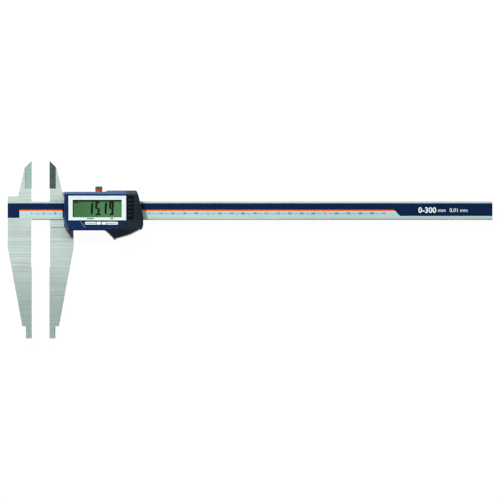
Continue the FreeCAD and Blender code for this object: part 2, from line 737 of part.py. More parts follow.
def key(name):
    """A white key cap with two grooves, a flange under the cover and a stem over its dome."""
    x0, x1, mark = KEYS[name]
    left = name == "left_key"
    cap = key_bar(x0, x1, 0, CAVITY_TOP - 0.2, KEY_TOP, [x0 if left else x1])
    cap = soften(cap, lambda e, m: abs(m.z - KEY_TOP) < 0.01, 0.3)
    flange = box(x0 + 0.2, x1 - 0.2, KEY_Y[0] - 0.5, KEY_Y[1] + 0.5, CAVITY_TOP - 0.7, CAVITY_TOP - 0.1)
    middle = (x0 + x1) / 2
    stem = upright(middle, sum(KEY_Y) / 2, 1.2, BOARD_Z[1] + 2.05 + KEY_TRAVEL + 0.1, CAVITY_TOP - 0.5)
    half = KEY_GROOVE / 2
    cross = box(mark - half, mark + half, KEY_Y[0] - 1, KEY_Y[1] + 1, KEY_TOP - 1.1, KEY_TOP + 1)
    ends = (x0 + 1.0, mark - 0.9) if left else (mark + 0.9, x1 - 1.4)
    line = box(ends[0], ends[1], -11.15, -10.7, KEY_TOP - 0.45, KEY_TOP + 1)
    return cut(union(cap, flange, stem), cross, line)


def key_mat():
    """The silicone mat with one dome per key, at the height it has when pressed."""
    z = BOARD_Z[1] + 0.01
    body = box(46.0, 73.2, -13.0, -8.8, z, z + 0.8)
    domes = []
    for x0, x1, _ in KEYS.values():
        domes.append(Part.makeCone(1.9, 1.3, 1.25, V((x0 + x1) / 2, sum(KEY_Y) / 2, z + 0.75)))
    return union(body, *domes)


# ============================================================================================
# Electronics and power
# ============================================================================================

def read_head():
    """The reader over the scale, with its row of electrode bars."""
    body = box(33.6, 75.4, -6.4, 6.4, BLADE + 0.3, BASE_TOP)
    pitch = 5.08
    bars = []
    for i in range(8):
        x = 36.0 + pitch * i
        bars.append(box(x, x + 3.2, -5.4, 5.4, BLADE + 0.15, BLADE + 0.4))
    return union(body, *bars)


def circuit_board():
    body = frame_box(BOARD, *BOARD_Z)
    holes = [upright(x, y, BOSS_R + 0.15, 0, 20) for x, y in HOUSING_SCREWS]
    return cut(body, *holes)


def board_chips():
    """The measuring chip, a memory, the crystal can and a row of small capacitors."""
    z = BOARD_Z[1] + 0.01
    parts = [
        box(44.0, 53.0, -2.0, 7.0, z, z + 1.3),
        box(58.0, 62.5, 0.0, 5.5, z, z + 1.1),
        pill(64.5, 69.5, -3.0, -1.0, z, z + 1.6),
    ]
    for i in range(6):
        x = 37.0 + 1.6 * (i % 2)
        y = -4.0 + 2.2 * (i // 2)
        parts.append(box(x, x + 0.9, y, y + 1.6, z, z + 0.7))
    return Part.makeCompound(parts)


def battery():
    """A 16 mm coin cell: can, rolled edge and the smaller negative face below."""
    x, y, r = CELL
    z0, z1 = CELL_Z
    can = upright(x, y, r, z0 + 0.4, z1)
    can = soften(can, lambda e, m: abs(m.z - z1) < 0.01 and len(e.Vertexes) == 1, 0.3)
    return union(can, upright(x, y, r - 1.2, z0, z0 + 0.5))


def battery_plus_contact():
    x, y, r = CELL
    right = x + r + 0.25
    top = box(x - 0.4, right + 0.25, y - 1.2, y + 1.2, CELL_Z[1] + 0.02, CELL_Z[1] + 0.27)
    leg = box(right, right + 0.25, y - 1.2, y + 1.2, BASE_TOP + 0.6, CELL_Z[1] + 0.1)
    return union(top, leg)


def battery_minus_contact():
    x, y, _ = CELL
    z = BOARD_Z[1] + 0.01
    return box(x - 7.0, x + 4.5, y - 1.5, y + 1.5, z, z + 0.25)


def battery_seal():
    ring = frame_box(LID, LID_Z[0] - 0.28, LID_Z[0] - 0.02, grow=-0.05)
    return cut(ring, frame_box(LID, LID_Z[0] - 1, LID_Z[0] + 1, grow=-0.75))


def battery_lid():
    """The lift-out lid: a plate with cross ribs for the thumb and a plug that centres it."""
    body = frame_box(LID, *LID_Z)
    body = soften(body, lambda e, m: is_upright(e), 0.5)
    plug = frame_box(LID, CAVITY_TOP - 0.2, LID_Z[0] + 0.1, grow=-0.85)
    first = (LID[2] + LID[3] - LID_RIB_PITCH * (LID_RIBS - 1)) / 2
    top = LID_Z[1] + LID_RIB_RISE
    ribs = []
    for i in range(LID_RIBS):
        y = first + LID_RIB_PITCH * i
        rib = box(LID[0] + 0.7, LID[1] - 0.7, y - LID_RIB_HALF, y + LID_RIB_HALF, LID_Z[1] - 0.1, top)
        ribs.append(soften(rib, lambda e, m: abs(m.z - top) < 0.01, 0.35))
    return union(body, plug, *ribs)


# ============================================================================================
# Export
# ============================================================================================

def build():
    housing = hollow_housing()
    nodes = {
        "beam": beam(),
        "encoder_scale": encoder_scale(),
        "scale_strip": scale_strip(),
        "end_stop": end_stop(),
        "end_stop_screws": end_stop_screws(),
        "slider_jaw": slider_jaw(),
        "gib_strip": gib_strip(),
        "gib_screws": gib_screws(),
        "clamp_shoe": clamp_shoe(),
        "clamp_screw": clamp_screw(),
        "clamp_ring": clamp_ring(),
        "housing_base": housing_base(),
        "housing_cover": housing_cover(housing),
        "thumb_grip": thumb_grip(housing),
        "housing_seal": housing_seal(),
        "housing_screws": housing_screws(),
        "wipers": wipers(),
        "read_head": read_head(),
        "circuit_board": circuit_board(),
        "board_chips": board_chips(),
        "zebra_strips": zebra_strips(),
        "lcd_holder": lcd_holder(),
        "lcd_panel": lcd_panel(),
        "display_window": display_window(),
        "bezel": bezel(),
        "key_mat": key_mat(),
        "battery": battery(),
        "battery_plus_contact": battery_plus_contact(),
        "battery_minus_contact": battery_minus_contact(),
        "battery_seal": battery_seal(),
        "battery_lid": battery_lid(),
    }
    for name in KEYS:
        nodes[name] = key(name)
    return nodes


def export(nodes):
    os.makedirs("parts", exist_ok=True)
    for name, shape in nodes.items():
        shape.translate(-ORIGIN)
        shape.exportStep("parts/" + name + ".step")
        print(name, "valid" if shape.isValid() else "NOT VALID", len(shape.Solids), round(shape.Volume, 1))


export(build())
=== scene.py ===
import math

import bmesh
import bpy
from mathutils import Matrix, Vector

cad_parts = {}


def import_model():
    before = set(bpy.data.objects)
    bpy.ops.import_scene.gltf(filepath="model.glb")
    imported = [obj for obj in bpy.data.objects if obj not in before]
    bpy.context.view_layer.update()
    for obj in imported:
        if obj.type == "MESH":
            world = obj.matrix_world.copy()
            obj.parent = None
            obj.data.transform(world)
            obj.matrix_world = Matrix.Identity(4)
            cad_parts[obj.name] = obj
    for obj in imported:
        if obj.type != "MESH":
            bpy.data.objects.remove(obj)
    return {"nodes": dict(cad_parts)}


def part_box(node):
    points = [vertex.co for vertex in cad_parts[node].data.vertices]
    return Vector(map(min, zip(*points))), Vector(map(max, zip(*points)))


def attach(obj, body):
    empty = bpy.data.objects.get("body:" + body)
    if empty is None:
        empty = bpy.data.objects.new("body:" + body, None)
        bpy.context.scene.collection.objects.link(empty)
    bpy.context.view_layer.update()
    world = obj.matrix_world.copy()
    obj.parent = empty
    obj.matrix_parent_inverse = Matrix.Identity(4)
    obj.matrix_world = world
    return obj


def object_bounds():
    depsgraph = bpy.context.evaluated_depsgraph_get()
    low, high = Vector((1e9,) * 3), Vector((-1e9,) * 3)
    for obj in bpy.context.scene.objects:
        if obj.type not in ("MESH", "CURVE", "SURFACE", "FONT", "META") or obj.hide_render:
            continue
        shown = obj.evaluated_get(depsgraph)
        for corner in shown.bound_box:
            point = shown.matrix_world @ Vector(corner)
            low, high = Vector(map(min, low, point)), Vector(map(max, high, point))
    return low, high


# Looks of the digital caliper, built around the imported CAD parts. Lengths in the shape functions
# are millimetres from the beam's centreline (Y), the fixed measuring face (X) and the beam's back
# (Z), and place() turns them into the frame's metres.

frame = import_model()
BOUNDS_AT_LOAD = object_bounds()
SCENE = bpy.context.scene

MM = 0.001
Y_SHIFT = 78.55
Z_SHIFT = -2.0


def place(x, y, z):
    """A point given in the shape functions' millimetres, in the frame's metres."""
    return Vector((x * MM, (y + Y_SHIFT) * MM, (z + Z_SHIFT) * MM))


def corners_of(node):
    """A CAD node's lowest and highest corners, in the shape functions' millimetres."""
    return [(v.x / MM, v.y / MM - Y_SHIFT, v.z / MM - Z_SHIFT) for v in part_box(node)]


# --- dimensions of the added print and display ------------------------------------------------
STRIP_LOW, STRIP_HIGH = corners_of("scale_strip")
STRIP_LEFT = STRIP_LOW[0]
STRIP_RIGHT, STRIP_SIDE, STRIP_TOP = STRIP_HIGH
PRINT_MARGIN = 0.02              # bare film along the print's long sides
PRINT_HALF = STRIP_SIDE - PRINT_MARGIN
INK = 0.012                      # thickness of each printed layer
LAYER_GAP = 0.002                # air under each printed layer
BLOCK_EDGE = -10.4               # right edge of the full-height block at the left end
LINE_Y = (-0.45, 0.72)           # the orange line
PALE_Y = (-1.55, -0.45)          # the light band under it
BAND_GAP = 0.02                  # from the ends of those two to the blue field
SLANT_TOP = (308.9, 0.72)        # the slanted edge where the scale print ends
SLANT_LOW = (314.0, -4.6)
NUMBER_Y = -2.45
NUMBER_SIZE = 2.4
NUMBER_WEIGHT = 0.06
CURVE_STEPS = 3                  # straight pieces in each curve of a character
WELD = 1e-7                      # metres
TICK_TOP = -1.95
TICK_HALF = 0.12                 # half the width of a mark
TICK_LONG = 1.5                  # length of the mark at every fifth millimetre
TICK_SHORT = 1.1
NUMBER_CLEAR = 3                 # marks closer than this to a number's millimetre are left out
LAST_MARK = 300
LEGEND_Y = 0.15
RANGE_LEGEND = (                 # name, text, centre x, size, added stroke weight
    ("range_figures", "0-300", 337.2, 6.6, 0.16),
    ("range_unit", "mm", 349.6, 4.4, 0.02),
    ("step_figures", "0.01", 360.0, 4.6, 0.02),
    ("step_unit", "mm", 368.4, 4.4, 0.02),
)

PANEL_TOP = corners_of("lcd_panel")[1][2]
DISPLAY_GAP = 0.01               # air between the panel and the figures
DISPLAY_INK = 0.02               # thickness of the figures and of the dark edge
DIGIT_Y = (-4.05, 7.6)
DIGIT_SLANT = 0.06               # sideways lean for each unit of height
DIGIT_WIDTH = 4.05
DIGIT_PITCH = 5.87
FIRST_DIGIT_X = 48.4
STROKE = 1.75
BAR_GAP = 0.06
CROSSBAR = 0.34                  # half the middle bar's thickness as a share of the stroke
SEGMENTS = {"1": "j", "5": "afgcd", "9": "abfgcd"}
READING = "1519"
POINT_X = 58.6
POINT_RADIUS = 0.72
POINT_SIDES = 12
SMALL_BAR = (36.2, 40.4, 6.5, 7.2)           # left, right, bottom and top of the bar at the upper left
DISPLAY_EDGE = (35.15, 77.0, -5.85, 9.15)    # the same for the visible part of the display
SHADOW_SHOWN = (0.45, 0.25, 0.35, 0.5)         # how far the frame's painted shadow shows on each of those sides
SHADOW_HIDDEN = 0.8                            # how far that painted shadow goes on behind the frame
SHADOW_GAP = 0.01                              # between the pieces of that painted shadow
BEZEL_MARKS = ((47.4, 4), (67.1, 2))         # left end and number of the small bars over each key
BEZEL_MARK_Y = -7.35
BEZEL_MARK_SIDE = 1.1                        # both the width and the height of a bar
BEZEL_MARK_LEAN = 0.2
BEZEL_MARK_PITCH = 1.45
BEZEL_STEP = 0.12                            # how far the face around the window lies below the frame's top
BEZEL_MARK_GAP = 0.008                       # from that face up to the marks
BEZEL_MARK_Z = corners_of("bezel")[1][2] - BEZEL_STEP + BEZEL_MARK_GAP

# --- where the finishes and the painted light and shade change, in the frame's metres, and by how much ---
PAINTED_TIP_SHADE_Y = (-0.012, 0.045)         # painted shade: the long jaws are painted darker from the second of these to the first
PAINTED_TIP_SHADE = (0.77, 0.81, 0.80, 1.0)
STREAKS = (14, 1150, 1150)       # frequency of the grinding streaks along x, y, z in 1/m
STREAK_GAIN = (0.94, 1.06)       # the steel's brightness in the darkest and lightest streak
GROUND_FROM = (0.95, 0.975)      # upward part of the normal where the ground slopes' finish begins
GROUND_TO = (0.990, 0.996)       # and where it gives way to the flat faces' finish
GROUND_TINT = (0.768, 1.013, 0.959, 1.0)
GROUND_ROUGHNESS = 0.261         # as a share of the flat faces' roughness
SHEENS = {"navy_plastic": (0.42, 0.72, 1.0, 1.0), "grip_plastic": (0.74, 0.97, 1.0, 1.0)}
LID_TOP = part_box("battery_lid")[1].z
LID_RIB_HIGHLIGHT_Z = (LID_TOP - 0.00035, LID_TOP - 0.00005)      # up the lid's ribs, whose tops get a painted highlight
LID_RIB_HIGHLIGHT_GAIN = (4.2, 4.0, 3.8, 1.0)
LCD_PAINTED_SHEEN_X = (0.034, 0.078)     # painted reflection: the display is darker at the first and lighter at the second
LCD_SHEEN_DARK = (0.90, 0.92, 0.93, 1.0)
LCD_SHEEN_BRIGHT = (1.40, 1.32, 1.40, 1.0)
WINDOW_ALPHA = 0.06
BROAD_MOTTLE = 70.0              # frequency of the broad mottling in 1/m
FINE_SHARE = 0.55                # share of the fine texture in the mottling
WORN_FACING = (0.90, 0.997)      # rounded against true normal where the wear is full, and where it ends
WORN_PATCHES = (0.35, 0.6)       # the broad mottling where the wear is least and where it is full
CREVICE = 0.0010                 # how far the painted corner shade reaches out of corners and seams
CORNER_SHADE_OPENNESS = (0.25, 0.85)    # how open a spot is where the painted corner shade is full, and where it ends
WHITE = (1.0, 1.0, 1.0, 1.0)

# --- shader helpers -----------------------------------------------------------------------------


def add(tree, kind, **inputs):
    """A node whose inputs, by name or as i0, i1 and so on, are linked to an output or set to a value."""
    node = tree.nodes.new(kind)
    for name, value in inputs.items():
        numbered = name[0] == "i" and name[1:].isdigit()
        socket = node.inputs[int(name[1:]) if numbered else name]
        if isinstance(value, bpy.types.NodeSocket):
            tree.links.new(value, socket)
        else:
            socket.default_value = value
    return node


def maths(tree, operation, a, b=0.0):
    """Two values combined by a Math node."""
    node = add(tree, "ShaderNodeMath", i0=a, i1=b)
    node.operation = operation
    return node.outputs[0]


def spread(tree, value, low, high, to_low, to_high):
    """The value carried smoothly from one interval to another, held at both ends."""
    node = add(tree, "ShaderNodeMapRange", i0=value, i1=low, i2=high, i3=to_low, i4=to_high)
    node.interpolation_type = "SMOOTHSTEP"
    return node.outputs[0]


def blend(tree, factor, a, b):
    """The first colour where the factor is 0, and the second where it is 1."""
    node = tree.nodes.new("ShaderNodeMix")
    node.data_type = "RGBA"
    for index, value in ((0, factor), (6, a), (7, b)):
        if isinstance(value, bpy.types.NodeSocket):
            tree.links.new(value, node.inputs[index])
        else:
            node.inputs[index].default_value = value
    return node.outputs[2]


def tint(colour, gain):
    """The colour made brighter or darker, with a full alpha."""
    return (colour[0] * gain, colour[1] * gain, colour[2] * gain, 1.0)


def noise(tree, vector, scale, detail=3.0, roughness=0.55):
    """Smooth noise from 0 to 1."""
    node = add(tree, "ShaderNodeTexNoise", Vector=vector, Scale=scale, Detail=detail, Roughness=roughness)
    return node.outputs[0]


def position(tree, axis):
    """The surface point's place along an axis, in the frame's metres."""
    place_on = tree.nodes["Texture Coordinate"].outputs["Object"]
    return add(tree, "ShaderNodeSeparateXYZ", i0=place_on).outputs[axis]


def multiply_into(tree, socket, shade):
    """Multiplies what feeds a colour socket by another colour."""
    product = tree.nodes.new("ShaderNodeMix")
    product.data_type = "RGBA"
    product.blend_type = "MULTIPLY"
    product.inputs[0].default_value = 1.0
    tree.links.new(socket.links[0].from_socket, product.inputs[6])
    tree.links.new(shade, product.inputs[7])
    tree.links.new(product.outputs[2], socket)


# --- finishes -----------------------------------------------------------------------------------
# colour: linear base; rough: (smoothest, roughest); metal; tone: how far the mottling goes either
# way; grain: fine texture frequency along x, y, z in 1/m; relief: its height in metres; edge: radius
# of the worn edge in metres; worn: gain on the colour there; shine: mirror part of a non-metal;
# corner_shade: how dark the painted shade in the deepest corners gets, 1 for none

FINISHES = {
    "steel": dict(colour=(0.615, 0.685, 0.660), rough=(0.86, 0.92), metal=1.0, tone=0.07,
                  grain=(25, 850, 850), relief=3e-6, edge=1.0e-4, worn=1.0, shine=0.5),
    "screw_steel": dict(colour=(0.55, 0.56, 0.57), rough=(0.22, 0.4), metal=1.0, tone=0.1,
                        grain=(2600, 2600, 300), relief=3e-6, edge=8e-5, worn=1.3, shine=0.5),
    "knob_metal": dict(colour=(0.26, 0.34, 0.28), rough=(0.28, 0.42), metal=0.9, tone=0.15,
                       grain=(1500, 300, 1500), relief=4e-6, edge=7e-5, worn=1.9, shine=0.5),
    "bronze": dict(colour=(0.55, 0.33, 0.13), rough=(0.3, 0.48), metal=1.0, tone=0.12,
                   grain=(60, 4000, 4000), relief=4e-6, edge=8e-5, worn=1.3, shine=0.5),
    "contact_metal": dict(colour=(0.62, 0.55, 0.34), rough=(0.2, 0.34), metal=1.0, tone=0.08,
                          grain=(300, 3000, 3000), relief=2e-6, edge=5e-5, worn=1.2, shine=0.5),
    "board_laminate": dict(colour=(0.012, 0.085, 0.035), rough=(0.32, 0.5), metal=0.0, tone=0.2,
                           grain=(1600, 1600, 400), relief=1.2e-5, edge=6e-5, worn=1.5, shine=0.3),
    "strip_film": dict(colour=(0.435, 0.60, 0.575), rough=(0.68, 0.8), metal=0.25, tone=0.05,
                       grain=(40, 2600, 900), relief=2e-6, edge=4e-5, worn=1.1, shine=0.2),
    "navy_plastic": dict(colour=(0.0045, 0.0175, 0.080), rough=(0.24, 0.32), metal=0.0, tone=0.14,
                         grain=(3400, 3400, 3400), relief=8e-6, edge=1.8e-4, worn=1.6, shine=0.6),
    "grip_plastic": dict(colour=(0.006, 0.0105, 0.0145), rough=(0.36, 0.48), metal=0.0, tone=0.22,
                         grain=(2300, 2300, 2300), relief=2.2e-5, edge=1.6e-4, worn=1.9, shine=0.29),
    "lid_plastic": dict(colour=(0.0028, 0.0045, 0.0068), rough=(0.4, 0.55), metal=0.0, tone=0.25,
                        grain=(2300, 2300, 2300), relief=2.0e-5, edge=2.2e-4, worn=4.0, shine=0.06),
    "black_plastic": dict(colour=(0.008, 0.008, 0.009), rough=(0.42, 0.6), metal=0.0, tone=0.2,
                          grain=(2600, 2600, 2600), relief=1.2e-5, edge=1.2e-4, worn=1.6, shine=0.25),
    "white_plastic": dict(colour=(0.65, 0.75, 0.725), rough=(0.24, 0.36), metal=0.0, tone=0.03,
                          grain=(3000, 3000, 3000), relief=3e-6, edge=1.5e-4, worn=1.03, shine=0.3),
    "key_plastic": dict(colour=(0.67, 0.80, 0.785), rough=(0.24, 0.36), metal=0.0, tone=0.03,
                        grain=(3000, 3000, 3000), relief=3e-6, edge=1.5e-4, worn=1.03, shine=0.3,
                        corner_shade=0.06),
    "orange_plastic": dict(colour=(0.50, 0.045, 0.008), rough=(0.3, 0.45), metal=0.0, tone=0.08,
                           grain=(2600, 2600, 2600), relief=5e-6, edge=9e-5, worn=1.15, shine=0.1),
    "black_rubber": dict(colour=(0.006, 0.0085, 0.0085), rough=(0.68, 0.85), metal=0.0, tone=0.25,
                         grain=(3800, 3800, 3800), relief=2.4e-5, edge=9e-5, worn=1.7, shine=0.06),
    "silicone": dict(colour=(0.38, 0.38, 0.36), rough=(0.5, 0.68), metal=0.0, tone=0.07,
                     grain=(1800, 1800, 1800), relief=1e-5, edge=1.2e-4, worn=1.1, shine=0.25),
    "chip_epoxy": dict(colour=(0.014, 0.014, 0.016), rough=(0.5, 0.66), metal=0.0, tone=0.2,
                       grain=(5200, 5200, 5200), relief=1e-5, edge=7e-5, worn=1.5, shine=0.2),
    "cell_steel": dict(colour=(0.66, 0.66, 0.645), rough=(0.16, 0.3), metal=1.0, tone=0.06,
                       grain=(2500, 180, 900), relief=3e-6, edge=1e-4, worn=1.15, shine=0.5),
    "blue_ink": dict(colour=(0.0022, 0.0135, 0.052), rough=(0.55, 0.68), metal=0.0, tone=0.1,
                     grain=(60, 2400, 900), relief=2e-6, edge=2e-5, worn=1.4, shine=0.06),
    "orange_ink": dict(colour=(0.80, 0.105, 0.0), rough=(0.55, 0.68), metal=0.0, tone=0.06,
                       grain=(60, 2400, 900), relief=2e-6, edge=2e-5, worn=1.05, shine=0.03),
    "pale_ink": dict(colour=(0.38, 0.67, 0.79), rough=(0.55, 0.68), metal=0.0, tone=0.04,
                     grain=(60, 2400, 900), relief=2e-6, edge=2e-5, worn=1.03, shine=0.12),
    "dark_ink": dict(colour=(0.015, 0.035, 0.028), rough=(0.34, 0.5), metal=0.0, tone=0.12,
                     grain=(900, 900, 900), relief=2e-6, edge=1e-5, worn=1.3, shine=0.1),
    "red_ink": dict(colour=(0.62, 0.05, 0.035), rough=(0.34, 0.5), metal=0.0, tone=0.08,
                    grain=(900, 900, 900), relief=2e-6, edge=1e-5, worn=1.2, shine=0.1),
    "mark_ink": dict(colour=(0.02, 0.035, 0.10), rough=(0.34, 0.5), metal=0.0, tone=0.12,
                     grain=(900, 900, 900), relief=2e-6, edge=1e-5, worn=1.3, shine=0.1),
    "painted_shadow_ink": dict(colour=(0.012, 0.045, 0.018), rough=(0.3, 0.45), metal=0.0, tone=0.12,
                     grain=(900, 900, 900), relief=1e-6, edge=1e-5, worn=1.2, shine=0.08, corner_shade=1.0),
    "white_ink": dict(colour=(0.80, 0.84, 0.86), rough=(0.34, 0.5), metal=0.0, tone=0.04,
                      grain=(900, 900, 900), relief=2e-6, edge=1e-5, worn=1.02, shine=0.12),
    "segment": dict(colour=(0.002, 0.003, 0.003), rough=(0.25, 0.38), metal=0.0, tone=0.2,
                    grain=(1400, 1400, 400), relief=1e-6, edge=2e-5, worn=1.6, shine=0.08, corner_shade=1.0),
    "lcd_glass": dict(colour=(0.060, 0.180, 0.068), rough=(0.2, 0.3), metal=0.0, tone=0.05,
                      grain=(700, 700, 700), relief=1e-6, edge=4e-5, worn=1.1, shine=0.1, corner_shade=1.0),
    "window_clear": dict(colour=(0.04, 0.05, 0.05), rough=(0.04, 0.12), metal=0.0, tone=0.05,
                         grain=(500, 900, 500), relief=4e-7, edge=6e-5, worn=1.1, shine=0.12,
                         corner_shade=1.0),
}


def worn_edges(tree, rounded, broad):
    """1 on rubbed edges and 0 on flat faces, uneven along the edge."""
    facing = tree.nodes.new("ShaderNodeVectorMath")
    facing.operation = "DOT_PRODUCT"
    tree.links.new(rounded, facing.inputs[0])
    tree.links.new(add(tree, "ShaderNodeNewGeometry").outputs["True Normal"], facing.inputs[1])
    rubbed = spread(tree, facing.outputs["Value"], *WORN_FACING, 1.0, 0.0)
    return maths(tree, "MULTIPLY", rubbed, spread(tree, broad, *WORN_PATCHES, 0.35, 1.0))


def finish_material(name, colour, rough, metal, tone, grain, relief, edge, worn, shine, corner_shade=0.35):
    """A procedural surface: mottling, uneven gloss, fine relief, worn edges and painted shade in corners.
    """
    material = bpy.data.materials.new(name)
    material.use_nodes = True
    tree = material.node_tree
    shader = tree.nodes["Principled BSDF"]
    place_on = add(tree, "ShaderNodeTexCoord").outputs["Object"]
    stretched = add(tree, "ShaderNodeMapping", Vector=place_on, Scale=grain).outputs[0]
    fine = noise(tree, stretched, 1.0, 4.0, 0.6)
    broad = noise(tree, place_on, BROAD_MOTTLE, 3.0)
    mottle = maths(tree, "MULTIPLY_ADD", fine, FINE_SHARE)
    tree.links.new(maths(tree, "MULTIPLY", broad, 1 - FINE_SHARE), mottle.node.inputs[2])
    patches = spread(tree, mottle, 0.33, 0.67, 0.0, 1.0)
    body = blend(tree, patches, tint(colour, 1 - tone), tint(colour, 1 + tone))
    rounded = add(tree, "ShaderNodeBevel", Radius=edge)
    rounded.samples = 4
    rubbed = worn_edges(tree, rounded.outputs[0], broad)
    tree.links.new(blend(tree, rubbed, body, tint(colour, worn)), shader.inputs["Base Color"])
    # painted shade: ambient occlusion darkens the colour in corners and seams
    if corner_shade < 1.0:
        hidden = add(tree, "ShaderNodeAmbientOcclusion", Distance=CREVICE)
        hidden.samples = 6
        darker = spread(tree, hidden.outputs["AO"], *CORNER_SHADE_OPENNESS, corner_shade, 1.0)
        multiply_into(tree, shader.inputs["Base Color"], darker)
    gloss = spread(tree, mottle, 0.3, 0.7, *rough)
    gloss = maths(tree, "MULTIPLY", gloss, spread(tree, rubbed, 0.0, 1.0, 1.0, 0.8))
    tree.links.new(gloss, shader.inputs["Roughness"])
    bump = add(tree, "ShaderNodeBump", Height=fine, Normal=rounded.outputs[0], Distance=relief,
               Strength=1.0)
    tree.links.new(bump.outputs[0], shader.inputs["Normal"])
    shader.inputs["Metallic"].default_value = metal
    shader.inputs["Specular IOR Level"].default_value = shine
    return material


MATERIALS = {name: finish_material(name, **recipe) for name, recipe in FINISHES.items()}


def shader_of(finish):
    """The finish's main shader node."""
    return MATERIALS[finish].node_tree.nodes["Principled BSDF"]


def refine_steel():
    """Satin steel, streaked, with painted shade darkening it towards the long jaws' tips, and smoother on
    the ground slopes.
    """
    tree = MATERIALS["steel"].node_tree
    shader = shader_of("steel")
    place_on = tree.nodes["Texture Coordinate"].outputs["Object"]
    stretched = add(tree, "ShaderNodeMapping", Vector=place_on, Scale=STREAKS).outputs[0]
    streaks = noise(tree, stretched, 1.0, 1.0, 0.5)
    multiply_into(tree, shader.inputs["Base Color"], spread(tree, streaks, 0.3, 0.7, *STREAK_GAIN))
    # painted shade: the steel's colour darkened towards the long jaws' tips
    painted_tip_shade = spread(tree, position(tree, 1), *PAINTED_TIP_SHADE_Y, 1.0, 0.0)
    multiply_into(tree, shader.inputs["Base Color"], blend(tree, painted_tip_shade, WHITE, PAINTED_TIP_SHADE))
    normal = tree.nodes["Geometry"].outputs["True Normal"]
    up = maths(tree, "ABSOLUTE", add(tree, "ShaderNodeSeparateXYZ", i0=normal).outputs[2])
    steep = spread(tree, up, *GROUND_FROM, 0.0, 1.0)
    ground = maths(tree, "MULTIPLY", steep, spread(tree, up, *GROUND_TO, 1.0, 0.0))
    multiply_into(tree, shader.inputs["Base Color"], blend(tree, ground, WHITE, GROUND_TINT))
    gloss = shader.inputs["Roughness"].links[0].from_socket
    gloss = maths(tree, "MULTIPLY", gloss, spread(tree, ground, 0.0, 1.0, 1.0, GROUND_ROUGHNESS))
    tree.links.new(gloss, shader.inputs["Roughness"])


def shade_along(finish, axis, span, near, far):
    """Painted light and shade: multiplies a finish's colour by one shade before the span along an axis and
    another after it.
    """
    tree = MATERIALS[finish].node_tree
    share = spread(tree, position(tree, axis), *span, 0.0, 1.0)
    multiply_into(tree, shader_of(finish).inputs["Base Color"], blend(tree, share, near, far))


refine_steel()
# painted reflection: the display made lighter towards its right
shade_along("lcd_glass", 0, LCD_PAINTED_SHEEN_X, LCD_SHEEN_DARK, LCD_SHEEN_BRIGHT)
# painted highlight: the tops of the lid's ribs made lighter
shade_along("lid_plastic", 2, LID_RIB_HIGHLIGHT_Z, WHITE, LID_RIB_HIGHLIGHT_GAIN)
shader_of("window_clear").inputs["Alpha"].default_value = WINDOW_ALPHA
for finish, sheen in SHEENS.items():
    shader_of(finish).inputs["Specular Tint"].default_value = sheen

CAD_FINISH = {
    "steel": ["beam", "end_stop", "slider_jaw"],
    "screw_steel": ["end_stop_screws", "gib_screws", "housing_screws"],
    "knob_metal": ["clamp_screw"],
    "bronze": ["gib_strip", "clamp_shoe"],
    "contact_metal": ["battery_plus_contact", "battery_minus_contact"],
    "board_laminate": ["encoder_scale", "circuit_board"],
    "strip_film": ["scale_strip"],
    "navy_plastic": ["housing_cover"],
    "grip_plastic": ["thumb_grip"],
    "lid_plastic": ["battery_lid"],
    "black_plastic": ["housing_base", "read_head", "lcd_holder"],
    "white_plastic": ["bezel"],
    "key_plastic": ["left_key", "right_key"],
    "orange_plastic": ["clamp_ring"],
    "black_rubber": ["housing_seal", "wipers", "zebra_strips", "battery_seal"],
    "silicone": ["key_mat"],
    "chip_epoxy": ["board_chips"],
    "cell_steel": ["battery"],
    "lcd_glass": ["lcd_panel"],
    "window_clear": ["display_window"],
}

for finish, names in CAD_FINISH.items():
    for name in names:
        mesh = frame["nodes"][name].data
        mesh.materials.clear()
        mesh.materials.append(MATERIALS[finish])


# --- added pieces -------------------------------------------------------------------------------


def keep(name, mesh, finish, body):
    """Puts a mesh in the scene as a piece of the caliper."""
    piece = bpy.data.objects.new(name, mesh)
    SCENE.collection.objects.link(piece)
    mesh.materials.append(MATERIALS[finish])
    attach(piece, body)


def plates(name, outlines, z0, z1):
    """One mesh of closed flat prisms. Each outline runs anticlockwise."""
    verts = []
    faces = []
    for outline in outlines:
        base = len(verts)
        n = len(outline)
        verts += [place(x, y, z0) for x, y in outline]
        verts += [place(x, y, z1) for x, y in outline]
        faces.append([base + i for i in reversed(range(n))])
        faces.append([base + n + i for i in range(n)])
        for i in range(n):
            j = (i + 1) % n
            faces.append([base + i, base + j, base + n + j, base + n + i])
    mesh = bpy.data.meshes.new(name)
    mesh.from_pydata(verts, [], faces)
    mesh.validate()
    return mesh


def rectangle(x0, x1, y0, y1):
    """An upright rectangle's corners, anticlockwise."""
    return [(x0, y0), (x1, y0), (x1, y1), (x0, y1)]


def figures(name, entries, size, weight, z0, z1):
    """Closed raised characters, fattened by the weight. Each entry is a text with its centre."""
    gathered = bmesh.new()
    for text, x, y in entries:
        curve = bpy.data.curves.new(name, "FONT")
        curve.body = text
        curve.size = size * MM
        curve.align_x = "CENTER"
        curve.align_y = "CENTER"
        curve.extrude = (z1 - z0) / 2 * MM
        curve.offset = weight * MM
        curve.resolution_u = CURVE_STEPS
        holder = bpy.data.objects.new(name, curve)
        mesh = bpy.data.meshes.new_from_object(holder)
        mesh.transform(Matrix.Translation(place(x, y, (z0 + z1) / 2)))
        gathered.from_mesh(mesh)
        bpy.data.meshes.remove(mesh)
        bpy.data.objects.remove(holder)
        bpy.data.curves.remove(curve)
    bmesh.ops.remove_doubles(gathered, verts=gathered.verts, dist=WELD)
    bmesh.ops.recalc_face_normals(gathered, faces=gathered.faces)
    mesh = bpy.data.meshes.new(name)
    gathered.to_mesh(mesh)
    gathered.free()
    mesh.materials.clear()
    return mesh


def slant_x(y):
    """The slanted end of the scale print at this height."""
    share = (SLANT_TOP[1] - y) / (SLANT_TOP[1] - SLANT_LOW[1])
    return SLANT_TOP[0] + share * (SLANT_LOW[0] - SLANT_TOP[0])


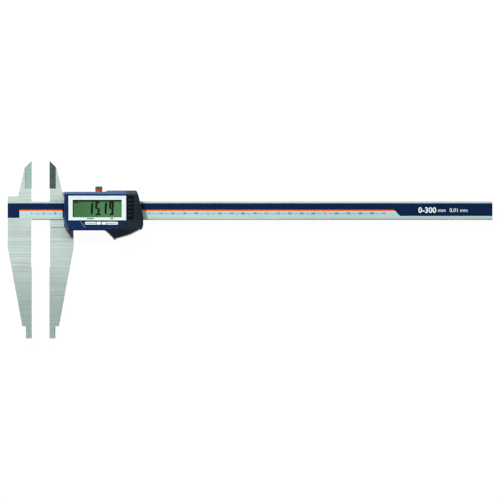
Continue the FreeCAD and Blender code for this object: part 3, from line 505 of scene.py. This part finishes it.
def scale_print():
    """Everything printed on the film: blue field, orange line, pale band, marks and numbers."""
    z0 = STRIP_TOP + LAYER_GAP
    z1 = z0 + INK
    field = [
        (STRIP_LEFT, -PRINT_HALF),
        (BLOCK_EDGE, -PRINT_HALF),
        (BLOCK_EDGE, LINE_Y[1]),
        SLANT_TOP,
        SLANT_LOW,
        (STRIP_RIGHT, SLANT_LOW[1]),
        (STRIP_RIGHT, PRINT_HALF),
        (STRIP_LEFT, PRINT_HALF),
    ]
    bands = {
        "blue_field": ([field], "blue_ink"),
        "orange_line": ([band(*LINE_Y)], "orange_ink"),
        "pale_band": ([band(*PALE_Y)], "pale_ink"),
        "scale_marks": (marks(), "dark_ink"),
    }
    for name, (outlines, ink) in bands.items():
        keep(name, plates(name, outlines, z0, z1), ink, "beam_assembly")
    numbers = [(str(10 * i), 10.0 * i, NUMBER_Y) for i in range(LAST_MARK // 10 + 1)]
    red = [entry for i, entry in enumerate(numbers) if i % 5 == 0]
    dark = [entry for i, entry in enumerate(numbers) if i % 5]
    for name, entries, ink in (("red_numbers", red, "red_ink"), ("dark_numbers", dark, "dark_ink")):
        printed = figures(name, entries, NUMBER_SIZE, NUMBER_WEIGHT, z0, z1)
        keep(name, printed, ink, "beam_assembly")
    upper = z1 + LAYER_GAP
    for name, text, x, size, weight in RANGE_LEGEND:
        legend = figures(name, [(text, x, LEGEND_Y)], size, weight, upper, upper + INK)
        keep(name, legend, "white_ink", "beam_assembly")


def band(y0, y1):
    """A strip of print from the left block to the slanted edge."""
    left = BLOCK_EDGE + BAND_GAP
    return [(left, y0), (slant_x(y0) - BAND_GAP, y0), (slant_x(y1) - BAND_GAP, y1), (left, y1)]


def marks():
    """A fine mark at every millimetre, longer at every fifth, left out behind the numbers."""
    outlines = []
    for i in range(LAST_MARK + 1):
        from_number = abs((i + 5) % 10 - 5)
        if from_number < NUMBER_CLEAR:
            continue
        length = TICK_LONG if i % 5 == 0 else TICK_SHORT
        outlines.append(rectangle(i - TICK_HALF, i + TICK_HALF, TICK_TOP - length, TICK_TOP))
    return outlines


def segment(letter, h, low, high):
    """One mitred bar of a seven-bar figure, upright and centred on x = 0, or j, its whole right side."""
    mid = (low + high) / 2
    w = STROKE
    g = BAR_GAP
    m = w * CROSSBAR
    top = mid + m + g
    under = mid - m - g
    bars = {
        "a": [(w - h, high - w), (h - w, high - w), (h - g, high), (g - h, high)],
        "b": [(h - w, top), (h, mid + g), (h, high - g), (h - w, high - w - g)],
        "c": [(h - w, low + w + g), (h, low + g), (h, mid - g), (h - w, under)],
        "d": [(g - h, low), (h - g, low), (h - w, low + w), (w - h, low + w)],
        "f": [(-h, mid + g), (w - h, top), (w - h, high - w - g), (-h, high - g)],
        "g": [(g - h, mid), (w - h, mid - m), (h - w, mid - m),
              (h - g, mid), (h - w, mid + m), (w - h, mid + m)],
        "j": [(h - w, low + w + g), (h, low + g), (h, high - g), (h - w, high - w - g)],
    }
    return bars[letter]


def leaned(outline, centre):
    """The outline leaned to the right about the figures' half height, and moved to its centre."""
    mid = sum(DIGIT_Y) / 2
    return [(centre + x + DIGIT_SLANT * (y - mid), y) for x, y in outline]


def reading():
    """The figures 15.19 with the point, the small bar at the upper left and the frame's painted shadow
    round the display's edge.
    """
    outlines = []
    for i, digit in enumerate(READING):
        centre = FIRST_DIGIT_X + DIGIT_WIDTH / 2 + DIGIT_PITCH * i
        for letter in SEGMENTS[digit]:
            outlines.append(leaned(segment(letter, DIGIT_WIDTH / 2, *DIGIT_Y), centre))
    turns = [2 * math.pi * i / POINT_SIDES for i in range(POINT_SIDES)]
    point_y = DIGIT_Y[0] + POINT_RADIUS
    outlines.append([(POINT_X + POINT_RADIUS * math.cos(a), point_y + POINT_RADIUS * math.sin(a))
                     for a in turns])
    outlines.append(rectangle(*SMALL_BAR))
    z0 = PANEL_TOP + DISPLAY_GAP
    z1 = z0 + DISPLAY_INK
    keep("lcd_reading", plates("lcd_reading", outlines, z0, z1), "segment", "slider")
    # painted shadow: a dark sheet round the display's edge, widest at the top and left, where the frame's
    # shadow falls
    x0, x1, y0, y1 = DISPLAY_EDGE
    left, right, bottom, top = SHADOW_SHOWN
    low = y0 + bottom
    high = y1 - top
    sides = [
        rectangle(x0 - SHADOW_HIDDEN, x1 + SHADOW_HIDDEN, high, y1 + SHADOW_HIDDEN),
        rectangle(x0 - SHADOW_HIDDEN, x1 + SHADOW_HIDDEN, y0 - SHADOW_HIDDEN, low),
        rectangle(x0 - SHADOW_HIDDEN, x0 + left, low + SHADOW_GAP, high - SHADOW_GAP),
        rectangle(x1 - right, x1 + SHADOW_HIDDEN, low + SHADOW_GAP, high - SHADOW_GAP),
    ]
    keep("lcd_painted_shadow", plates("lcd_painted_shadow", sides, z0, z1), "painted_shadow_ink", "slider")


def bezel_marks():
    """Small printed bars on the white frame over each key."""
    low = BEZEL_MARK_Y
    high = low + BEZEL_MARK_SIDE
    bars = []
    for left, count in BEZEL_MARKS:
        for i in range(count):
            x0 = left + BEZEL_MARK_PITCH * i
            x1 = x0 + BEZEL_MARK_SIDE
            lean = BEZEL_MARK_LEAN
            bars.append([(x0, low), (x1, low), (x1 + lean, high), (x0 + lean, high)])
    printed = plates("bezel_marks", bars, BEZEL_MARK_Z, BEZEL_MARK_Z + INK)
    keep("bezel_marks", printed, "mark_ink", "slider")


scale_print()
reading()
bezel_marks()


# --- studio -------------------------------------------------------------------------------------

TABLE_HALF = 6.0
TABLE_THICKNESS = 0.02
TABLE_GAP = 0.0002               # from the caliper's lowest point down to the table
TABLE_COLOUR = (0.07, 0.07, 0.07, 1.0)
TABLE_GLOW = 0.97                # keeps the table white under the soft light
# each part of the dome: where along the sky's axis it changes, and its strength before and after
OVERHEAD_Z = (0.70, 0.88, 0.0, 0.16)
OVERHEAD_Y = (-0.05, 0.35, 0.0, 1.0)
BEHIND_Y = (0.15, 0.75, 0.0, 0.25)
AROUND_X = (-0.5, 0.1, 0.02, 0.045)
DOME_COLOUR = (0.97, 1.0, 0.99, 1.0)
LAMPS = (                        # name, place, where it points, size, watts
    ("key", (-0.55, 0.98, 1.05), (0.05, 0.07, 0.0), 0.3, 26.5),
    ("strip", (0.15, 1.15, 1.10), (0.15, 0.07, 0.0), (1.4, 0.35), 9.0),
    ("kicker", (-1.05, -0.25, 1.0), (0.03, 0.06, 0.0), 0.2, 1.4),
    ("glint", (1.0, 0.78, 0.93), (0.05, 0.065, 0.0), 0.2, 2.5),
    ("knife_glint", (0.465, 0.11, 1.425), (0.0, 0.11, 0.0), 0.3, 0.32),
)
LENS = 500.0                     # millimetres
SENSOR = 36.0
PICTURE_WIDTH = 0.4261           # what the picture covers at the beam's front face, in metres
PICTURE_CENTRE = (0.1861, 0.04495)
BEAM_FACE_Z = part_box("beam")[1].z


def floor():
    """A plain white table under the caliper."""
    mesh = bpy.data.meshes.new("table")
    top = BOUNDS_AT_LOAD[0].z - TABLE_GAP
    corners = rectangle(-TABLE_HALF, TABLE_HALF, -TABLE_HALF, TABLE_HALF)
    verts = [(x, y, z) for z in (top - TABLE_THICKNESS, top) for x, y in corners]
    sides = [[i, (i + 1) % 4, 4 + (i + 1) % 4, 4 + i] for i in range(4)]
    mesh.from_pydata(verts, [], [[3, 2, 1, 0], [4, 5, 6, 7]] + sides)
    table = bpy.data.objects.new("table", mesh)
    SCENE.collection.objects.link(table)
    material = bpy.data.materials.new("table_white")
    material.use_nodes = True
    shader = material.node_tree.nodes["Principled BSDF"]
    shader.inputs["Base Color"].default_value = TABLE_COLOUR
    shader.inputs["Roughness"].default_value = 0.9
    shader.inputs["Specular IOR Level"].default_value = 0.0
    shader.inputs["Emission Color"].default_value = WHITE
    shader.inputs["Emission Strength"].default_value = TABLE_GLOW
    mesh.materials.append(material)


def world():
    """A soft dome: bright overhead and behind the caliper, dark beyond its left and its front."""
    made = bpy.data.worlds.new("studio")
    made.use_nodes = True
    tree = made.node_tree
    background = tree.nodes["Background"]
    sky = add(tree, "ShaderNodeTexCoord").outputs["Generated"]
    x, y, z = add(tree, "ShaderNodeSeparateXYZ", i0=sky).outputs
    overhead = maths(tree, "MULTIPLY", spread(tree, z, *OVERHEAD_Z), spread(tree, y, *OVERHEAD_Y))
    behind = spread(tree, y, *BEHIND_Y)
    around = spread(tree, x, *AROUND_X)
    level = maths(tree, "ADD", maths(tree, "ADD", overhead, behind), around)
    tree.links.new(level, background.inputs["Strength"])
    background.inputs["Color"].default_value = DOME_COLOUR
    SCENE.world = made


def lamp(name, spot, target, size, watts):
    """A rectangular lamp where the size is a pair, and a round one where it is a number."""
    data = bpy.data.lights.new(name, "AREA")
    if isinstance(size, tuple):
        data.shape = "RECTANGLE"
        data.size, data.size_y = size
    else:
        data.shape = "DISK"
        data.size = size
    data.energy = watts
    light = bpy.data.objects.new(name, data)
    SCENE.collection.objects.link(light)
    light.location = spot
    light.rotation_euler = (Vector(target) - Vector(spot)).to_track_quat("-Z", "Y").to_euler()


def camera():
    """Looks straight down from far away, so that the picture has almost no perspective."""
    data = bpy.data.cameras.new("camera")
    data.lens = LENS
    data.sensor_width = SENSOR
    eye = bpy.data.objects.new("camera", data)
    SCENE.collection.objects.link(eye)
    eye.location = (*PICTURE_CENTRE, BEAM_FACE_Z + PICTURE_WIDTH * LENS / SENSOR)
    data.clip_end = 50.0
    SCENE.camera = eye


floor()
world()
for settings in LAMPS:
    lamp(*settings)
camera()
SCENE.view_settings.view_transform = "Standard"
